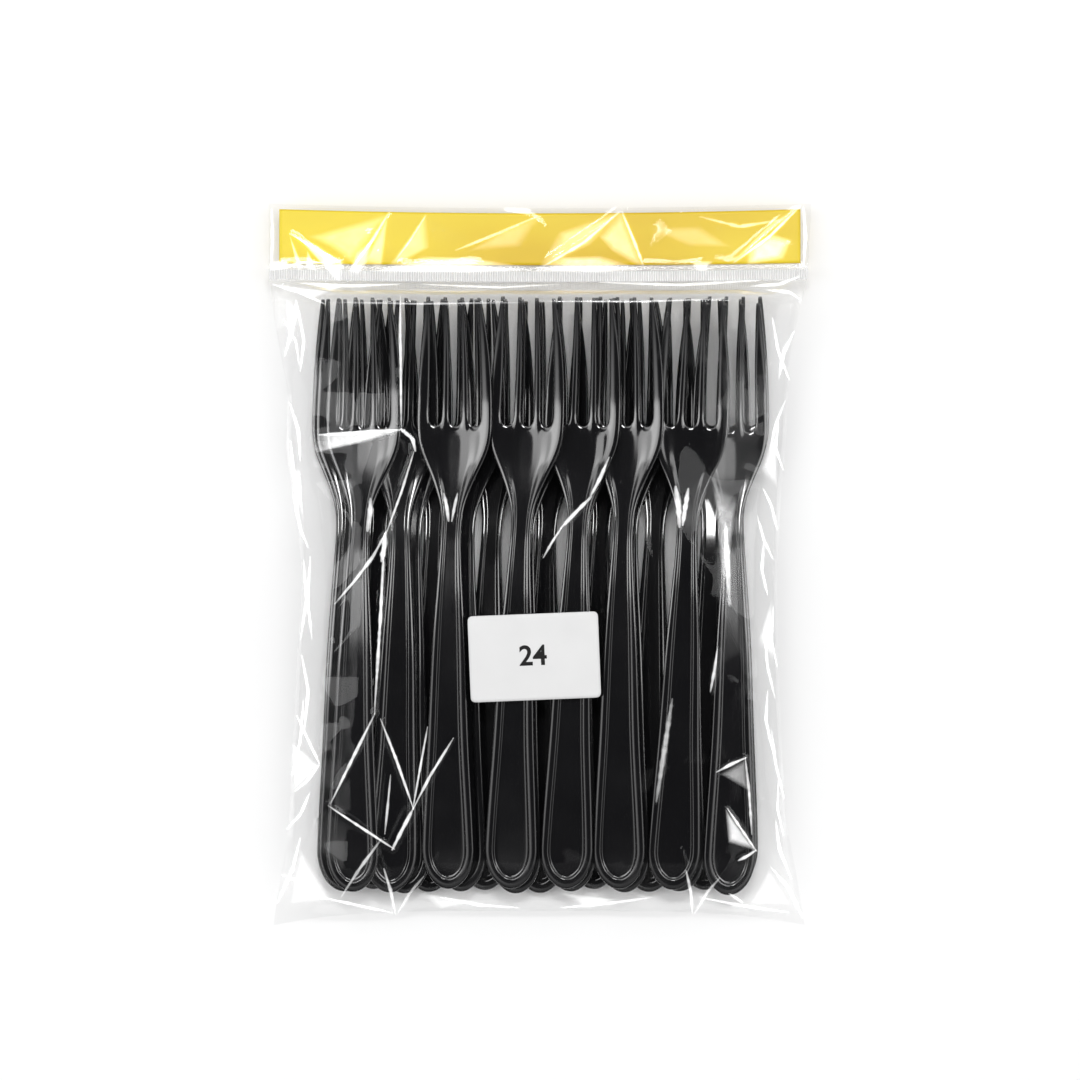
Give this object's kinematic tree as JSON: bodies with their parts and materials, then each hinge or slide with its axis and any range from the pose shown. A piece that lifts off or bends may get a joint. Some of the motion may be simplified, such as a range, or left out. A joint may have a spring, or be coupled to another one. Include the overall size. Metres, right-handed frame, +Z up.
{
  "type": "plastic cutlery pack",
  "caption": "Flat clear film pack of nested black plastic forks with a yellow header strip, a crimped seal and a white label on the front.",
  "frame": {"origin": "middle of the pack's outline on the surface that it lies on: middle of the bounding box in X and Y, its bottom in Z", "axes": "+X across the pack to the right as seen from the front, +Y up the pack towards the header and the tines, +Z up out of the front wall"},
  "size_m": [0.1632, 0.2173, 0.0296],
  "materials": {
    "black_plastic": "glossy moulded",
    "clear_film": "clear and glossy, thin film",
    "yellow_card": "smooth, coated",
    "white_label": "smooth, matt",
    "clear_tape": "clear adhesive strip"
  },
  "bodies": {
    "root": {"fork_01": "black_plastic", "fork_02": "black_plastic", "fork_03": "black_plastic", "fork_04": "black_plastic", "fork_05": "black_plastic", "fork_06": "black_plastic", "fork_07": "black_plastic", "fork_08": "black_plastic", "fork_09": "black_plastic", "fork_10": "black_plastic", "fork_11": "black_plastic", "fork_12": "black_plastic", "fork_13": "black_plastic", "fork_14": "black_plastic", "fork_15": "black_plastic", "fork_16": "black_plastic", "fork_17": "black_plastic", "fork_18": "black_plastic", "fork_19": "black_plastic", "fork_20": "black_plastic", "fork_21": "black_plastic", "fork_22": "black_plastic", "fork_23": "black_plastic", "fork_24": "black_plastic", "bag": "clear_film", "header_strip": "yellow_card", "label": "white_label", "closure_tape": "clear_tape"}
  },
  "joints": []
}
